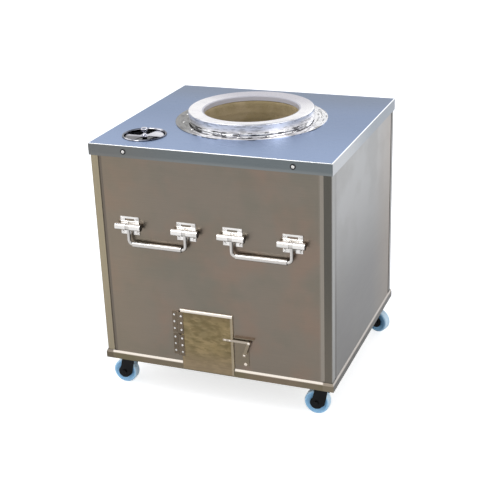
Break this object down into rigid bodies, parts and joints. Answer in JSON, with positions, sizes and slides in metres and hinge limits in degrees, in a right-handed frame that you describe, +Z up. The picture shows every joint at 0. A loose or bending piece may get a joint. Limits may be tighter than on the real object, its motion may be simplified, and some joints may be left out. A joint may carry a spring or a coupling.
{
  "type": "clay tandoor oven",
  "caption": "Free-standing charcoal tandoor: a clay pot in a square stainless-steel cabinet with a hinged ash door, rotary vent, drop handles and swivel castors.",
  "frame": {"origin": "on the floor, below the centre of the whole part's box", "axes": "+Z up, -Y the front with the ash door, +X the right side seen from the front"},
  "size_m": [0.7276, 0.707, 0.8147],
  "materials": {
    "cabinet_steel": "brushed stainless sheet",
    "polished_steel": "polished stainless steel",
    "fitting_steel": "satin stainless steel",
    "zinc_steel": "zinc-plated steel",
    "door_steel": "heat-tinted stainless sheet",
    "clay": "unglazed fired clay",
    "hearth_stone": "rough refractory slab",
    "mineral_wool": "matted wool",
    "grate_iron": "rough cast iron",
    "fork_black": "satin black",
    "wheel_blue": "satin blue",
    "washer_rubber": "matt black"
  },
  "bodies": {
    "cabinet": {"base_frame": "cabinet_steel", "base_plate": "cabinet_steel", "corner_posts": "cabinet_steel", "top_frame": "cabinet_steel", "front_panel": "cabinet_steel", "left_panel": "cabinet_steel", "right_panel": "cabinet_steel", "rear_panel": "cabinet_steel", "top_cover": "cabinet_steel", "cover_screws": "polished_steel", "cover_washers": "washer_rubber", "mouth_flange": "polished_steel", "mouth_ring": "polished_steel", "flange_rivets": "polished_steel", "clay_pot": "clay", "insulation": "mineral_wool", "hearth_slab": "hearth_stone", "charcoal_grate": "grate_iron", "ash_chute": "cabinet_steel", "vent_cup": "polished_steel", "vent_duct": "cabinet_steel", "vent_pivot": "polished_steel", "hinge_leaves_fixed": "fitting_steel", "hinge_pins": "polished_steel", "hinge_screws_fixed": "polished_steel", "latch_plate": "fitting_steel", "latch_rivets": "polished_steel", "handle_brackets": "polished_steel", "handle_pins": "polished_steel", "handle_screws": "polished_steel", "castor_plates": "zinc_steel", "castor_bolts": "zinc_steel"},
    "vent_shutter": {"vent_shutter": "polished_steel", "vent_knob": "polished_steel"},
    "ash_door": {"ash_door": "door_steel", "hinge_leaves_door": "fitting_steel", "hinge_screws_door": "polished_steel", "latch_strap": "fitting_steel", "strap_rivets": "polished_steel"},
    "door_hook": {"latch_hook": "polished_steel"},
    "handle_front_left": {"bail_front_left": "polished_steel", "grip_front_left": "polished_steel"},
    "handle_front_right": {"bail_front_right": "polished_steel", "grip_front_right": "polished_steel"},
    "handle_rear_left": {"bail_rear_left": "polished_steel", "grip_rear_left": "polished_steel"},
    "handle_rear_right": {"bail_rear_right": "polished_steel", "grip_rear_right": "polished_steel"},
    "castor_front_left": {"fork_front_left": "fork_black", "axle_front_left": "fork_black"},
    "castor_front_right": {"fork_front_right": "fork_black", "axle_front_right": "fork_black"},
    "castor_rear_left": {"fork_rear_left": "fork_black", "axle_rear_left": "fork_black"},
    "castor_rear_right": {"fork_rear_right": "fork_black", "axle_rear_right": "fork_black"},
    "castor_wheel_front_left": {"wheel_front_left": "wheel_blue"},
    "castor_wheel_front_right": {"wheel_front_right": "wheel_blue"},
    "castor_wheel_rear_left": {"wheel_rear_left": "wheel_blue"},
    "castor_wheel_rear_right": {"wheel_rear_right": "wheel_blue"}
  },
  "joints": [
    {"name": "vent_turn", "type": "hinge", "parent": "cabinet", "child": "vent_shutter", "pos_m": [-0.233, -0.222, 0.777], "axis": [0, 0, 1], "range_deg": [0, 90]},
    {"name": "door_hinge", "type": "hinge", "parent": "cabinet", "child": "ash_door", "pos_m": [-0.11, -0.3351, 0.2248], "axis": [0, 0, -1], "range_deg": [0, 150]},
    {"name": "hook_swing", "type": "hinge", "parent": "ash_door", "child": "door_hook", "pos_m": [0.1079, -0.3393, 0.228], "axis": [0, 1, 0], "range_deg": [0, 100]},
    {"name": "handle_swing_front_left", "type": "hinge", "parent": "cabinet", "child": "handle_front_left", "pos_m": [-0.156, -0.3435, 0.5455], "axis": [-1, 0, 0], "range_deg": [0, 100]},
    {"name": "handle_swing_front_right", "type": "hinge", "parent": "cabinet", "child": "handle_front_right", "pos_m": [0.156, -0.3435, 0.5455], "axis": [-1, 0, 0], "range_deg": [0, 100]},
    {"name": "handle_swing_rear_left", "type": "hinge", "parent": "cabinet", "child": "handle_rear_left", "pos_m": [-0.156, 0.3435, 0.5455], "axis": [1, 0, 0], "range_deg": [0, 100]},
    {"name": "handle_swing_rear_right", "type": "hinge", "parent": "cabinet", "child": "handle_rear_right", "pos_m": [0.156, 0.3435, 0.5455], "axis": [1, 0, 0], "range_deg": [0, 100]},
    {"name": "castor_swivel_front_left", "type": "hinge", "parent": "cabinet", "child": "castor_front_left", "pos_m": [-0.308, -0.2705, 0.0975], "axis": [0, 0, 1], "continuous": true},
    {"name": "castor_swivel_front_right", "type": "hinge", "parent": "cabinet", "child": "castor_front_right", "pos_m": [0.308, -0.2705, 0.0975], "axis": [0, 0, 1], "continuous": true},
    {"name": "castor_swivel_rear_left", "type": "hinge", "parent": "cabinet", "child": "castor_rear_left", "pos_m": [-0.308, 0.2895, 0.0975], "axis": [0, 0, 1], "continuous": true},
    {"name": "castor_swivel_rear_right", "type": "hinge", "parent": "cabinet", "child": "castor_rear_right", "pos_m": [0.308, 0.2895, 0.0975], "axis": [0, 0, 1], "continuous": true},
    {"name": "wheel_spin_front_left", "type": "hinge", "parent": "castor_front_left", "child": "castor_wheel_front_left", "pos_m": [-0.326, -0.2705, 0.0375], "axis": [0, 1, 0], "continuous": true},
    {"name": "wheel_spin_front_right", "type": "hinge", "parent": "castor_front_right", "child": "castor_wheel_front_right", "pos_m": [0.29, -0.2705, 0.0375], "axis": [0, 1, 0], "continuous": true},
    {"name": "wheel_spin_rear_left", "type": "hinge", "parent": "castor_rear_left", "child": "castor_wheel_rear_left", "pos_m": [-0.32512, 0.29506, 0.0375], "axis": [0.309, 0.9511, 0], "continuous": true},
    {"name": "wheel_spin_rear_right", "type": "hinge", "parent": "castor_rear_right", "child": "castor_wheel_rear_right", "pos_m": [0.32512, 0.28394, 0.0375], "axis": [0.309, 0.9511, 0], "continuous": true}
  ]
}
